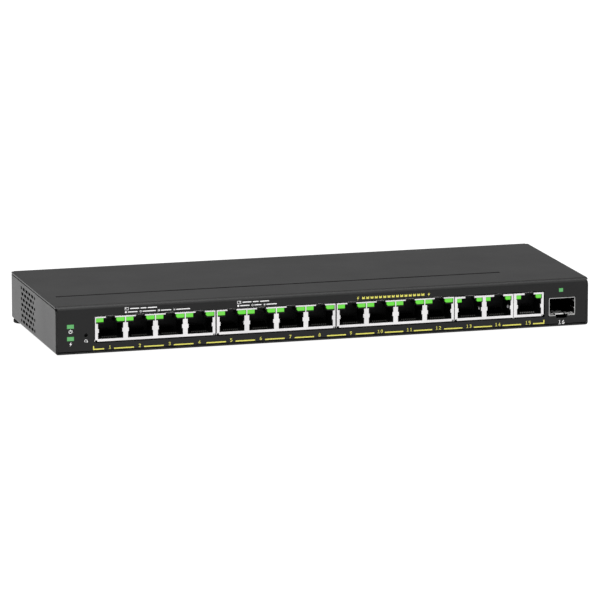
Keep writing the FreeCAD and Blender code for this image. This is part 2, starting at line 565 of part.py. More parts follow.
# ---------------------------------------------------------------- parts on the board
zb = BOARD_Z[1]
chip = box(-37.0, -13.0, 4.0, 28.0, zb, zb + 1.8)
chip = soften(chip, 0.3, lambda b: near(b.ZMin, zb + 1.8) and near(b.ZMax, zb + 1.8), "chip")
write("switch_chip", chip)
write("thermal_pad", box(-35.0, -15.0, 6.0, 26.0, zb + 1.8, zb + 2.4))
hs = [box(-44.0, -6.0, -3.0, 35.0, zb + 2.4, zb + 4.6)]
for j in range(10):
    xa = -44.0 + j * (38.0 - 1.4) / 9.0
    hs.append(box(xa, xa + 1.4, -3.0, 35.0, zb + 4.5, zb + 14.0))
write("switch_heat_sink", fuse(hs))
write("poe_controllers", [box(x - 4.5, x + 4.5, -10.0, -1.0, zb, zb + 1.1) for x in (-100.0, -62.0, 37.0, 98.0)])
mags = []
for (x, wd) in ((-106.85, 24.0), (-75.25, 24.0), (-42.5, 24.0), (-10.9, 24.0),
                (21.8, 24.0), (53.4, 24.0), (85.9, 24.0), (110.5, 13.0)):
    m = box(x - wd / 2, x + wd / 2, -30.0, -16.0, zb, zb + 6.4)
    m = soften(m, 0.5, lambda b: near(b.ZMin, zb + 6.4) and near(b.ZMax, zb + 6.4), "magnetics")
    mags.append(m)
write("magnetics", mags)
caps = []
for (x, y) in ((-92.0, 34.0), (-76.0, 34.0), (-60.0, 34.0)):
    c = cyl(x, y, zb, 6.25, 16.0)
    c = soften(c, 0.8, lambda b: near(b.ZMin, zb + 16) and near(b.ZMax, zb + 16), "can rim")
    g = Part.makeTorus(6.45, 0.45, V(x, y, zb + 2.2), V(0, 0, 1))
    caps.append(c.cut(g))
write("bulk_capacitors", caps)
inds = []
for (x, y) in ((-114.0, 14.0), (-54.0, 14.0), (64.0, 14.0)):
    c = box(x - 6.2, x + 6.2, y - 6.2, y + 6.2, zb, zb + 7.0)
    c = soften(c, 1.2, lambda b: b.ZLength > 5, "inductor")
    inds.append(c)
write("inductors", inds)
tr = [box(-89.0, -67.0, 4.0, 24.0, zb + 1.5, zb + 11.5), box(-86.5, -69.5, 1.5, 26.5, zb, zb + 3.0)]
write("power_transformer", fuse(tr))
xt = box(6.0, 17.0, 8.0, 12.6, zb, zb + 3.4)
xt = soften(xt, 2.2, lambda b: b.ZLength > 3, "crystal")
write("clock_crystal", xt)
smd = []
for j in range(9):
    for q in range(3):
        smd.append(box(10.0 + 6.0 * j, 12.0 + 6.0 * j, 22.0 + 3.0 * q, 23.2 + 3.0 * q, zb, zb + 0.7))
for j in range(12):
    smd.append(box(80.0 + 3.0 * j, 81.2 + 3.0 * j, 8.0, 10.0, zb, zb + 0.7))
for j in range(8):
    smd.append(box(-130.0 + 3.0 * j, -128.8 + 3.0 * j, -8.0, -6.0, zb, zb + 0.7))
write("smd_parts", smd)
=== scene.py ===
import json
import math

import bmesh
import bpy
from mathutils import Matrix, Vector


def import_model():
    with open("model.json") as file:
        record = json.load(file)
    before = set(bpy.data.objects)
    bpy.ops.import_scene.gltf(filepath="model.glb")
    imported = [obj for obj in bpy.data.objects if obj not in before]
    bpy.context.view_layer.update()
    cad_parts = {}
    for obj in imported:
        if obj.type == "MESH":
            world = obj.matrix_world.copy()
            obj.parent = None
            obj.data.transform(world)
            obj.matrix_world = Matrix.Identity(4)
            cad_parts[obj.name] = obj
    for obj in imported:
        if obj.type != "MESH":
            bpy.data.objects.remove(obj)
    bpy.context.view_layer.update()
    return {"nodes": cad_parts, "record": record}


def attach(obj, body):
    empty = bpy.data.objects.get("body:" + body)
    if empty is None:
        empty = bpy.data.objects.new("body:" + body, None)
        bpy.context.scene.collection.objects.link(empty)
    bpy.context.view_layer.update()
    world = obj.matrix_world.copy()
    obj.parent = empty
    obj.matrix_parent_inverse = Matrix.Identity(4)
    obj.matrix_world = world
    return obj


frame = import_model()

FOOT = 0.0015                    # height of the feet; case heights below are above this
PANEL_Y = -0.0504                # outer face of the front panel
INK = 0.000025                   # thickness of the printed ink
MM = 0.001
DATUM_X = 0.000325               # datum of the front features, from the middle of the case


# ------------------------------------------------------------------ camera
def make_camera():
    cam = bpy.data.cameras.new("camera")
    cam.sensor_width = 36.0
    cam.sensor_fit = "HORIZONTAL"
    cam.lens = 318.671
    cam.clip_start = 0.05
    cam.clip_end = 60.0
    ob = bpy.data.objects.new("camera", cam)
    bpy.context.scene.collection.objects.link(ob)
    right = Vector((0.961227, -0.275757, 0.0))
    up = Vector((0.054197, 0.188919, 0.980495))
    back = Vector((-0.270379, -0.942479, 0.196539))
    m = Matrix((
        (right.x, up.x, back.x, -0.754871 + DATUM_X),
        (right.y, up.y, back.y, -2.632778),
        (right.z, up.z, back.z, 0.560338 + FOOT),
        (0, 0, 0, 1)))
    ob.matrix_world = m
    bpy.context.scene.camera = ob


make_camera()
scene = bpy.context.scene
scene.view_settings.view_transform = "Standard"
scene.view_settings.look = "None"
scene.view_settings.exposure = 0.0
scene.view_settings.gamma = 1.0


# ------------------------------------------------------------------ material tools
class Mat:
    """A node material with one Principled shader and short calls for the usual nodes."""

    def __init__(self, name, **consts):
        self.m = bpy.data.materials.new(name)
        self.m.use_nodes = True
        nt = self.m.node_tree
        nt.nodes.clear()
        self.nt = nt
        self.out = nt.nodes.new("ShaderNodeOutputMaterial")
        self.p = nt.nodes.new("ShaderNodeBsdfPrincipled")
        nt.links.new(self.p.outputs[0], self.out.inputs[0])
        self.tc = nt.nodes.new("ShaderNodeTexCoord")
        for k, v in consts.items():
            self.p.inputs[k.replace("_", " ")].default_value = v

    def set(self, socket, value):
        self.p.inputs[socket].default_value = value
        return self

    def node(self, kind, **props):
        n = self.nt.nodes.new(kind)
        for k, v in props.items():
            setattr(n, k, v)
        return n

    def link(self, a, b):
        self.nt.links.new(a, b)

    def coords(self, scale=(1, 1, 1)):
        mp = self.node("ShaderNodeMapping")
        mp.inputs["Scale"].default_value = scale
        self.link(self.tc.outputs["Object"], mp.inputs["Vector"])
        return mp.outputs[0]

    def noise(self, scale, detail=3.0, rough=0.55, stretch=(1, 1, 1)):
        n = self.node("ShaderNodeTexNoise")
        n.inputs["Scale"].default_value = scale
        n.inputs["Detail"].default_value = detail
        n.inputs["Roughness"].default_value = rough
        self.link(self.coords(stretch), n.inputs["Vector"])
        return n.outputs[0]

    def voronoi(self, scale, feature="F1", stretch=(1, 1, 1)):
        n = self.node("ShaderNodeTexVoronoi", feature=feature)
        n.inputs["Scale"].default_value = scale
        self.link(self.coords(stretch), n.inputs["Vector"])
        return n.outputs[0]

    def span(self, value, lo, hi, a=0.0, b=1.0, clamp=True):
        n = self.node("ShaderNodeMapRange", clamp=clamp)
        n.inputs["From Min"].default_value = a
        n.inputs["From Max"].default_value = b
        n.inputs["To Min"].default_value = lo
        n.inputs["To Max"].default_value = hi
        self.link(value, n.inputs["Value"])
        return n.outputs[0]

    def math(self, op, a, b):
        n = self.node("ShaderNodeMath", operation=op)
        for i, v in enumerate((a, b)):
            if hasattr(v, "is_linked"):
                self.link(v, n.inputs[i])
            else:
                n.inputs[i].default_value = v
        return n.outputs[0]

    def mix(self, fac, ca, cb):
        n = self.node("ShaderNodeMix", data_type="RGBA")
        if hasattr(fac, "is_linked"):
            self.link(fac, n.inputs[0])
        else:
            n.inputs[0].default_value = fac
        for i, c in ((6, ca), (7, cb)):
            if hasattr(c, "is_linked"):
                self.link(c, n.inputs[i])
            else:
                n.inputs[i].default_value = (*c[:3], 1)
        return n.outputs[2]

    def edges(self, radius, lo=0.93, hi=0.999):
        """1 at sharp edges, 0 on flats."""
        b = self.node("ShaderNodeBevel", samples=4)
        b.inputs["Radius"].default_value = radius
        g = self.node("ShaderNodeNewGeometry")
        d = self.node("ShaderNodeVectorMath", operation="DOT_PRODUCT")
        self.link(b.outputs[0], d.inputs[0])
        self.link(g.outputs["Normal"], d.inputs[1])
        return self.span(d.outputs["Value"], 1.0, 0.0, lo, hi)

    def color(self, sock):
        self.link(sock, self.p.inputs["Base Color"])
        return self

    def rough(self, sock):
        self.link(sock, self.p.inputs["Roughness"])
        return self

    def bump(self, height, distance, strength=1.0, bevel=0.0):
        n = self.node("ShaderNodeBump")
        n.inputs["Distance"].default_value = distance
        n.inputs["Strength"].default_value = strength
        self.link(height, n.inputs["Height"])
        if bevel:
            b = self.node("ShaderNodeBevel", samples=4)
            b.inputs["Radius"].default_value = bevel
            self.link(b.outputs[0], n.inputs["Normal"])
        self.link(n.outputs[0], self.p.inputs["Normal"])
        return self


def grey(v):
    return (v, v, v * 1.01)


# ------------------------------------------------------------------ materials
def paint():
    """Satin charcoal powder coat: fine orange peel, slight tone drift, thin coat on edges, painted highlight along the
    top-front bend.
    """
    m = Mat("case_paint", Metallic=0.0, IOR=1.30)
    tone = m.noise(34.0, 3.0)
    speck = m.noise(2600.0, 2.0)
    c = m.mix(m.span(tone, 0.0, 1.0, 0.3, 0.7), (0.0098, 0.0098, 0.0100), (0.0122, 0.0122, 0.0124))
    c = m.mix(m.span(speck, 0.0, 0.35, 0.52, 0.75), c, (0.018, 0.018, 0.018))
    e = m.edges(0.00035)
    wear = m.math("MULTIPLY", e, m.span(m.noise(160.0, 3.0), 0.15, 0.75, 0.35, 0.7))
    c = m.mix(wear, c, (0.06, 0.06, 0.061))
    # painted highlight: a lighter band along the bend of the top into the front, with a brighter crest line, stands in
    # for the reflection of the overhead light on the bend
    sep = m.node("ShaderNodeSeparateXYZ")
    m.link(m.tc.outputs["Object"], sep.inputs[0])
    front = m.span(sep.outputs["Y"], 1.0, 0.0, -0.0486, -0.0482)
    bend_highlight = m.math("MULTIPLY", front, m.math("MULTIPLY", m.span(sep.outputs["Z"], 0.0, 1.0, 0.0245, 0.0249),
                                            m.span(sep.outputs["Z"], 1.0, 0.0, 0.02600, 0.02620)))
    crest_highlight = m.math("MULTIPLY", front, m.math("MULTIPLY", m.span(sep.outputs["Z"], 0.0, 1.0, 0.02545, 0.02560),
                                             m.span(sep.outputs["Z"], 1.0, 0.0, 0.02595, 0.02610)))
    c = m.mix(m.math("MULTIPLY", bend_highlight, m.span(tone, 0.8, 1.0, 0.3, 0.7)), c, (0.034, 0.034, 0.034))
    c = m.mix(m.math("MULTIPLY", crest_highlight, m.span(tone, 0.75, 1.0, 0.3, 0.7)), c, (0.046, 0.046, 0.046))
    m.color(c)
    m.rough(m.math("ADD", m.span(tone, 0.285, 0.335, 0.3, 0.7), m.span(speck, 0.0, 0.06, 0.3, 0.8)))
    peel = m.math("ADD", m.noise(1500.0, 2.0), m.math("MULTIPLY", m.noise(480.0, 2.0), 1.3))
    m.bump(peel, 0.000010, 0.55, bevel=0.00025)
    return m.m


def shield():
    """Bright tin-plated steel with faint rolling lines and finger-dulled patches."""
    m = Mat("shield_metal", Metallic=1.0)
    lines = m.noise(420.0, 3.0, 0.6, (1, 1, 9))
    patch = m.noise(75.0, 3.0)
    m.color(m.mix(m.span(patch, 0.0, 1.0, 0.35, 0.7), (0.815, 0.80, 0.805), (0.75, 0.738, 0.742)))
    m.rough(m.math("ADD", m.span(patch, 0.24, 0.34, 0.3, 0.7), m.span(lines, -0.03, 0.05, 0.3, 0.7)))
    m.bump(lines, 0.000006, 0.5, bevel=0.00008)
    return m.m


def finger(name, a, b, metallic, glint_band=None):
    """Spring fingers inside the sockets: painted shade as near-black metal; where a band is given, a bright worn-tin
    patch inside it as a painted glint, with painted shade outside it.
    """
    m = Mat(name, Metallic=metallic)
    n = m.noise(900.0, 3.0, 0.6, (1, 4, 1))
    c = m.mix(m.span(n, 0.0, 1.0, 0.35, 0.7), a, b)
    if glint_band:
        sep = m.node("ShaderNodeSeparateXYZ")
        m.link(m.tc.outputs["Object"], sep.inputs[0])
        # painted glint inside the band, painted shade (near black) outside it
        glint_patch = m.math("MULTIPLY", m.span(sep.outputs["Z"], 0.0, 1.0, glint_band[0], glint_band[0] + 0.0001),
                     m.span(sep.outputs["Z"], 1.0, 0.0, glint_band[1] - 0.0001, glint_band[1]))
        c = m.mix(glint_patch, (0.018, 0.018, 0.018), c)
    m.color(c)
    m.rough(m.span(n, 0.42, 0.58, 0.3, 0.7))
    m.bump(n, 0.000006, 0.5)
    return m.m


def cage():
    """Nickel-plated steel: bright at the mouth; the entry ramp is made whiter and less metallic as a painted highlight,
    and painted shade makes it dark further in.
    """
    m = Mat("cage_metal", Metallic=1.0)
    lines = m.noise(500.0, 3.0, 0.6, (1, 6, 1))
    patch = m.noise(90.0, 3.0)
    c = m.mix(m.span(patch, 0.0, 1.0, 0.35, 0.7), (0.62, 0.615, 0.61), (0.52, 0.52, 0.515))
    sep = m.node("ShaderNodeSeparateXYZ")
    m.link(m.tc.outputs["Object"], sep.inputs[0])
    depth = m.span(sep.outputs["Y"], 0.0, 1.0, -0.0501, -0.0494)
    ramp = m.math("MULTIPLY", m.span(sep.outputs["Z"], 1.0, 0.0, 0.00775, 0.0079),
                  m.span(sep.outputs["Y"], 1.0, 0.0, -0.0445, -0.0420))
    # painted shade: dark colour further in, away from the ramp
    inside_shade = m.math("MULTIPLY", depth, m.math("SUBTRACT", 1.0, ramp))
    # painted highlight: the entry ramp is made whiter and less metallic
    ramp_highlight = m.math("MULTIPLY", ramp, depth)
    c = m.mix(ramp_highlight, c, m.mix(m.span(patch, 0.0, 1.0, 0.35, 0.7), (0.93, 0.92, 0.91), (0.80, 0.79, 0.78)))
    m.color(m.mix(inside_shade, c, (0.022, 0.022, 0.022)))
    m.link(m.span(ramp_highlight, 1.0, 0.15), m.p.inputs["Metallic"])
    m.rough(m.math("ADD", m.span(patch, 0.30, 0.42, 0.3, 0.7), m.span(lines, -0.04, 0.06, 0.3, 0.7)))
    m.bump(lines, 0.000008, 0.5, bevel=0.0001)
    return m.m


def latch():
    """The spring leaf of the cage: painted highlight on the tip, made near white, duller along the leaf."""
    m = Mat("latch_metal", Metallic=1.0)
    n = m.noise(600.0, 3.0, 0.6, (1, 6, 1))
    sep = m.node("ShaderNodeSeparateXYZ")
    m.link(m.tc.outputs["Object"], sep.inputs[0])
    tip_highlight = m.span(sep.outputs["Y"], 1.0, 0.0, -0.0467, -0.0462)
    leaf = m.mix(m.span(n, 0.0, 1.0, 0.35, 0.7), (0.70, 0.70, 0.69), (0.58, 0.58, 0.57))
    # painted highlight: the tip is near white
    m.color(m.mix(tip_highlight, leaf, (0.96, 0.95, 0.94)))
    m.link(m.span(tip_highlight, 0.35, 1.0), m.p.inputs["Metallic"])
    m.rough(m.span(n, 0.20, 0.32, 0.3, 0.7))
    m.bump(n, 0.000005, 0.5)
    return m.m


def steel(name="screw_steel", base=(0.6, 0.6, 0.61), r0=0.28):
    m = Mat(name, Metallic=1.0)
    n = m.noise(700.0, 3.0)
    e = m.edges(0.0001)
    c = m.mix(m.span(n, 0.0, 1.0, 0.35, 0.7), base, tuple(0.8 * v for v in base))
    m.color(m.mix(m.math("MULTIPLY", e, 0.4), c, tuple(min(1.0, v * 1.3) for v in base)))
    m.rough(m.span(n, r0, r0 + 0.14, 0.3, 0.7))
    m.bump(m.noise(1800.0, 2.0), 0.000006, 0.5)
    return m.m


def black_screw():
    m = Mat("screw_black", Metallic=0.6, IOR=1.5)
    n = m.noise(900.0, 3.0)
    e = m.edges(0.00012)
    c = m.mix(m.span(n, 0.0, 1.0, 0.35, 0.7), (0.022, 0.022, 0.023), (0.035, 0.035, 0.036))
    m.color(m.mix(m.math("MULTIPLY", e, 0.5), c, (0.30, 0.30, 0.29)))
    m.rough(m.span(n, 0.32, 0.48, 0.3, 0.7))
    m.bump(m.noise(1900.0, 2.0), 0.000006, 0.5)
    return m.m


def plastic(name, a, b, r0, r1, ior=1.46, scale=900.0, dist=0.000012, edge=None):
    m = Mat(name, Metallic=0.0, IOR=ior)
    n = m.noise(scale, 3.0)
    big = m.noise(60.0, 2.0)
    c = m.mix(m.span(big, 0.0, 1.0, 0.3, 0.7), a, b)
    if edge:
        c = m.mix(m.math("MULTIPLY", m.edges(0.00015), 0.5), c, edge)
    m.color(c)
    m.rough(m.span(n, r0, r1, 0.3, 0.7))
    m.bump(n, dist, 0.6)
    return m.m


def socket_plastic():
    """Black glass-filled plastic of the sockets."""
    m = Mat("jack_plastic", Metallic=0.0, IOR=1.45)
    n = m.noise(1100.0, 3.0)
    m.p.inputs["Specular IOR Level"].default_value = 0.3
    m.color(m.mix(m.span(n, 0.0, 1.0, 0.35, 0.7), (0.0028, 0.0028, 0.003), (0.005, 0.005, 0.005)))
    m.rough(m.span(n, 0.5, 0.68, 0.3, 0.7))
    m.bump(n, 0.000015, 0.6)
    return m.m


def gold(name, glow):
    """Spring wires: a gold band near the bend which glows faintly as a painted glint; painted shade makes the rest
    dark.
    """
    m = Mat(name, Metallic=1.0)
    n = m.noise(1400.0, 2.0, 0.5, (1, 0.2, 1))
    sep = m.node("ShaderNodeSeparateXYZ")
    m.link(m.tc.outputs["Object"], sep.inputs[0])
    glint_band = m.math("MULTIPLY", m.span(sep.outputs["Y"], 0.0, 1.0, -0.0480, -0.0477),
                  m.span(sep.outputs["Y"], 1.0, 0.0, -0.0470, -0.0466))
    c = m.mix(m.span(n, 0.0, 1.0, 0.35, 0.7), (0.22, 0.205, 0.17), (0.17, 0.16, 0.13))
    m.color(m.mix(glint_band, (0.018, 0.016, 0.012), c))
    # painted glint: the band glows faintly, standing in for light caught inside the socket
    m.link(m.mix(glint_band, (0.0, 0.0, 0.0), (glow, glow, glow * 0.97)), m.p.inputs["Emission Color"])
    m.p.inputs["Emission Strength"].default_value = 1.0
    m.rough(m.span(n, 0.25, 0.38, 0.3, 0.7))
    m.bump(n, 0.000004, 0.5)
    return m.m


def lit(name, core, rim, strength, gloss=0.18, y_on=-0.0493, y_off=-0.0479):
    """Diffusing plastic lit from inside: cloudy, bright on its front face, dark along its stem."""
    m = Mat(name, Metallic=0.0, IOR=1.49)
    cloud = m.noise(620.0, 3.0)
    sep = m.node("ShaderNodeSeparateXYZ")
    m.link(m.tc.outputs["Object"], sep.inputs[0])
    front = m.span(sep.outputs["Y"], 1.0, 0.02, y_on, y_off)
    c = m.mix(m.span(cloud, 0.0, 1.0, 0.32, 0.7), core, rim)
    c = m.mix(front, (0.0, 0.0, 0.0), c)
    m.color(m.mix(m.span(cloud, 0.0, 1.0, 0.3, 0.7), tuple(v * 0.12 for v in core), tuple(v * 0.10 for v in rim)))
    m.link(c, m.p.inputs["Emission Color"])
    m.p.inputs["Emission Strength"].default_value = strength
    m.rough(m.span(cloud, gloss, gloss + 0.14, 0.3, 0.7))
    m.bump(m.noise(1500.0, 2.0), 0.000006, 0.4)
    return m.m


def board_mat():
    m = Mat("board_green", Metallic=0.0, IOR=1.5)
    v = m.voronoi(260.0, "DISTANCE_TO_EDGE")
    tracks = m.span(v, 1.0, 0.0, 0.02, 0.09)
    n = m.noise(90.0, 3.0)
    base = m.mix(m.span(n, 0.0, 1.0, 0.3, 0.7), (0.006, 0.045, 0.018), (0.009, 0.060, 0.024))
    sep = m.node("ShaderNodeSeparateXYZ")
    m.link(m.tc.outputs["Object"], sep.inputs[0])
    rim = m.span(sep.outputs["Y"], 1.0, 0.0, -0.0446, -0.0440)      # painted shade: the front edge of the board is made near black
    c = m.mix(m.math("MULTIPLY", tracks, 0.5), base, (0.02, 0.10, 0.04))
    m.color(m.mix(rim, c, (0.004, 0.004, 0.004)))
    m.rough(m.span(n, 0.3, 0.42, 0.3, 0.7))
    m.bump(tracks, 0.00002, 0.6)
    return m.m


def ink(name, col):
    """Screen-printed ink: matt, with a faint mesh and thin spots."""
    m = Mat(name, Metallic=0.0, IOR=1.45)
    n = m.noise(1700.0, 3.0)
    m.color(m.mix(m.span(n, 0.0, 0.5, 0.55, 0.75), col, tuple(v * 0.80 for v in col)))
    m.rough(m.span(n, 0.45, 0.6, 0.3, 0.7))
    m.bump(n, 0.000004, 0.5)
    return m.m


def rubber():
    m = Mat("foot_rubber", Metallic=0.0, IOR=1.5)
    n = m.noise(1300.0, 4.0)
    m.p.inputs["Specular IOR Level"].default_value = 0.25
    c = m.mix(m.span(n, 0.0, 1.0, 0.35, 0.7), (0.009, 0.009, 0.009), (0.018, 0.018, 0.018))
    m.color(m.mix(m.math("MULTIPLY", m.edges(0.0003), 0.5), c, (0.045, 0.045, 0.044)))
    m.rough(m.span(n, 0.72, 0.9, 0.3, 0.7))
    m.bump(n, 0.00003, 0.6)
    return m.m


MATS = {
    "case_paint": paint(),
    "shield_metal": shield(),
    "cage_metal": cage(),
    "latch_metal": latch(),
    "screw_steel": steel(),
    "screw_black": black_screw(),
    "jack_plastic": socket_plastic(),
    # contact wires: painted glint in a band near the bend, painted shade along the rest
    "contact_gold": gold("contact_gold", 0.028),
    # a brighter painted glint for the contacts of port 15
    "contact_gold_bright_glint": gold("contact_gold_bright_glint", 0.11),
    # painted shade: the socket fingers are near-black metal, standing in for the dark inside of the sockets
    "finger_shade": finger("finger_shade", (0.016, 0.016, 0.016), (0.026, 0.026, 0.026), 1.0),
    # painted glint: a bright patch on the fingers of the narrow gang, with painted shade around it
    "finger_glint_and_shade": finger("finger_glint_and_shade", (0.74, 0.73, 0.74), (0.60, 0.60, 0.61), 0.2, (0.0121, 0.0136)),
    "port_light": lit("port_light", (0.105, 0.76, 0.024), (0.175, 0.64, 0.070), 0.92),
    "status_light": lit("status_light", (0.085, 0.40, 0.10), (0.13, 0.46, 0.16), 0.88, y_on=-0.0502, y_off=-0.0499),
    "board_green": board_mat(),
    "foot_rubber": rubber(),
    "insulator_film": plastic("insulator_film", (0.02, 0.02, 0.022), (0.03, 0.03, 0.032), 0.3, 0.4),
    "lamp_chip": plastic("lamp_chip", (0.7, 0.7, 0.6), (0.6, 0.6, 0.5), 0.3, 0.45),
    "plunger_plastic": plastic("plunger_plastic", (0.006, 0.006, 0.006), (0.01, 0.01, 0.01), 0.4, 0.55),
    "chip_black": plastic("chip_black", (0.012, 0.012, 0.013), (0.02, 0.02, 0.021), 0.55, 0.7, edge=(0.05, 0.05, 0.05)),
    "pad_grey": plastic("pad_grey", (0.3, 0.32, 0.36), (0.36, 0.38, 0.42), 0.6, 0.8),
    "heat_sink_alu": steel("heat_sink_alu", (0.62, 0.63, 0.65), 0.34),
    "capacitor_sleeve": plastic("capacitor_sleeve", (0.01, 0.01, 0.014), (0.014, 0.014, 0.02), 0.2, 0.3),
    "inductor_ferrite": plastic("inductor_ferrite", (0.05, 0.05, 0.05), (0.07, 0.07, 0.07), 0.5, 0.7),
    "transformer_tape": plastic("transformer_tape", (0.55, 0.40, 0.04), (0.62, 0.46, 0.06), 0.25, 0.4),
    "smd_ceramic": plastic("smd_ceramic", (0.34, 0.25, 0.16), (0.28, 0.20, 0.13), 0.4, 0.5),
    "ink_yellow": ink("ink_yellow", (0.80, 0.755, 0.13)),
    "ink_white": ink("ink_white", (0.94, 0.94, 0.94)),
}

slot_of = {s["node"]: s["material_slot"] for s in frame["record"]["subparts"]}
for name, ob in frame["nodes"].items():
    # port 15's contacts get a brighter painted glint; the latch gets its own material with a painted highlight on its
    # tip
    own = {"sfp_latch": "latch_metal", "jack_contacts_15": "contact_gold_bright_glint"}
    mat = MATS[own.get(name, slot_of[name])]
    ob.data.materials.clear()
    ob.data.materials.append(mat)


# ------------------------------------------------------------------ mesh tools
def new_object(name, bm, mat, smooth=False):
    bmesh.ops.remove_doubles(bm, verts=bm.verts, dist=1e-7)
    bmesh.ops.recalc_face_normals(bm, faces=bm.faces)
    me = bpy.data.meshes.new(name)
    bm.to_mesh(me)
    bm.free()
    ob = bpy.data.objects.new(name, me)
    scene.collection.objects.link(ob)
    me.materials.append(MATS[mat])
    if smooth:
        for p in me.polygons:
            p.use_smooth = True
    return ob


def add_prism(bm, pts, y0, y1, round_r=0.0):
    """Closed outline in (x, z), between two depths."""
    lo = [bm.verts.new((x, y0, z)) for x, z in pts]
    hi = [bm.verts.new((x, y1, z)) for x, z in pts]
    bm.faces.new(lo)
    bm.faces.new(list(reversed(hi)))
    n = len(pts)
    for i in range(n):
        bm.faces.new((lo[i], hi[i], hi[(i + 1) % n], lo[(i + 1) % n]))


def rrect(x0, x1, z0, z1, r, seg=4):
    """Rounded rectangle outline."""
    r = min(r, (x1 - x0) / 2 - 1e-6, (z1 - z0) / 2 - 1e-6)
    pts = []
    for cx, cz, a0 in ((x1 - r, z1 - r, 0), (x0 + r, z1 - r, 90), (x0 + r, z0 + r, 180), (x1 - r, z0 + r, 270)):
        for k in range(seg + 1):
            a = math.radians(a0 + 90.0 * k / seg)
            pts.append((cx + r * math.cos(a), cz + r * math.sin(a)))
    return pts


def oval(cx, cz, rx, rz, seg=18):
    return [(cx + rx * math.cos(2 * math.pi * k / seg), cz + rz * math.sin(2 * math.pi * k / seg)) for k in range(seg)]


# centre lines of plain digits, one unit high; True marks a closed line
DIGITS = {
    "0": [(oval(0.30, 0.5, 0.215, 0.415), True)],
    "1": [([(0.19, 0.80), (0.35, 0.92), (0.35, 0.0)], False), ([(0.14, 0.07), (0.56, 0.07)], False)],
    "2": [([(0.09, 0.72), (0.14, 0.86), (0.30, 0.915), (0.46, 0.86), (0.51, 0.70), (0.45, 0.52), (0.12, 0.085), (0.58, 0.085)], False)],
    "3": [([(0.09, 0.83), (0.27, 0.915), (0.45, 0.85), (0.50, 0.70), (0.42, 0.57), (0.24, 0.52)], False),
          ([(0.24, 0.50), (0.44, 0.45), (0.51, 0.29), (0.44, 0.14), (0.27, 0.085), (0.08, 0.15)], False)],
    "4": [([(0.62, 0.27), (0.09, 0.27), (0.42, 0.86)], False), ([(0.42, 1.0), (0.42, 0.0)], False)],
    "5": [([(0.55, 0.925), (0.14, 0.925), (0.12, 0.57), (0.34, 0.58), (0.50, 0.47), (0.52, 0.28), (0.40, 0.10),
            (0.08, 0.075)], False)],
    "6": [(oval(0.305, 0.275, 0.205, 0.19), True), ([(0.47, 0.93), (0.26, 0.78), (0.13, 0.54), (0.10, 0.29)], False)],
    "7": [([(0.06, 0.915), (0.52, 0.915), (0.24, 0.0)], False)],
    "8": [(oval(0.30, 0.71, 0.175, 0.20), True), (oval(0.30, 0.29, 0.21, 0.205), True)],
    "9": [(oval(0.295, 0.70, 0.205, 0.215), True), ([(0.50, 0.68), (0.46, 0.42), (0.32, 0.20), (0.12, 0.10)], False)],
}


def stroke(bm, pts, w, closed):
    """A line of even width, as a thin closed band of ink; points in millimetres on the panel."""
    n = len(pts)
    rows = []
    for k in range(n):
        a = Vector(pts[(k - 1) % n]) if closed or k > 0 else None
        b = Vector(pts[k])
        c = Vector(pts[(k + 1) % n]) if closed or k < n - 1 else None
        d1 = (b - a).normalized() if a is not None else (c - b).normalized()
        d2 = (c - b).normalized() if c is not None else d1
        t = d1 + d2
        t = t.normalized() if t.length > 1e-6 else d1
        nrm = Vector((-t.y, t.x))
        half = w / 2 / max(0.6, nrm.dot(Vector((-d1.y, d1.x))))
        row = []
        for s, y in ((1, PANEL_Y - INK), (-1, PANEL_Y - INK), (-1, PANEL_Y), (1, PANEL_Y)):
            px, pz = P(b.x + s * nrm.x * half, b.y + s * nrm.y * half)
            row.append(bm.verts.new((px, y, pz)))
        rows.append(row)
    for k in range(n if closed else n - 1):
        a, b = rows[k], rows[(k + 1) % n]
        for q in range(4):
            bm.faces.new((a[q], a[(q + 1) % 4], b[(q + 1) % 4], b[q]))
    if not closed:
        bm.faces.new(rows[0])
        bm.faces.new(list(reversed(rows[-1])))


def add_number(bm, txt, height, x, z, weight=0.15, wide=1.18):
    """Plain digits centred on x, standing on z; millimetres on the panel."""
    step = 0.84
    left = x - (step * (len(txt) - 1) + 0.60) * height * wide / 2
    for i, ch in enumerate(txt):
        for line, closed in DIGITS[ch]:
            stroke(bm, [(left + (step * i + px) * height * wide, z + pz * height) for px, pz in line], weight * height, closed)


# ------------------------------------------------------------------ front print
PORTS = [-114.75, -98.95, -83.15, -67.35, -50.40, -34.60, -18.80, -3.00, 13.90, 29.70, 45.50, 61.30, 78.00, 93.80, 110.50]
SEGMENTS = [(-124.25, -118.25), (-113.0, -102.5), (-97.15, -86.75), (-81.35, -71.0), (-64.1, -53.65), (-48.5, -38.1),
            (-32.75, -22.25), (-16.85, -6.5), (0.5, 10.75), (16.0, 26.0), (31.75, 41.75), (47.5, 57.5), (64.0, 74.0),
            (80.25, 90.25), (96.0, 106.25), (112.75, 119.25)]
LINE_Z = (1.85, 2.45)


def P(x, z):
    return (x * MM + DATUM_X, z * MM + FOOT)


def mark(bm, pts):
    """One closed mark; outline in millimetres on the front panel."""
    add_prism(bm, [P(x, z) for x, z in pts], PANEL_Y - INK, PANEL_Y)


def bar(bm, x0, x1, z, h):
    mark(bm, rrect(x0, x1, z - h / 2, z + h / 2, h * 0.45, 3))


def disc(bm, x, z, r, a0=0.0, a1=360.0, seg=20):
    n = seg if a1 - a0 >= 360 else seg + 1
    mark(bm, [(x + r * math.cos(math.radians(a0 + (a1 - a0) * k / seg)),
               z + r * math.sin(math.radians(a0 + (a1 - a0) * k / seg))) for k in range(n)])


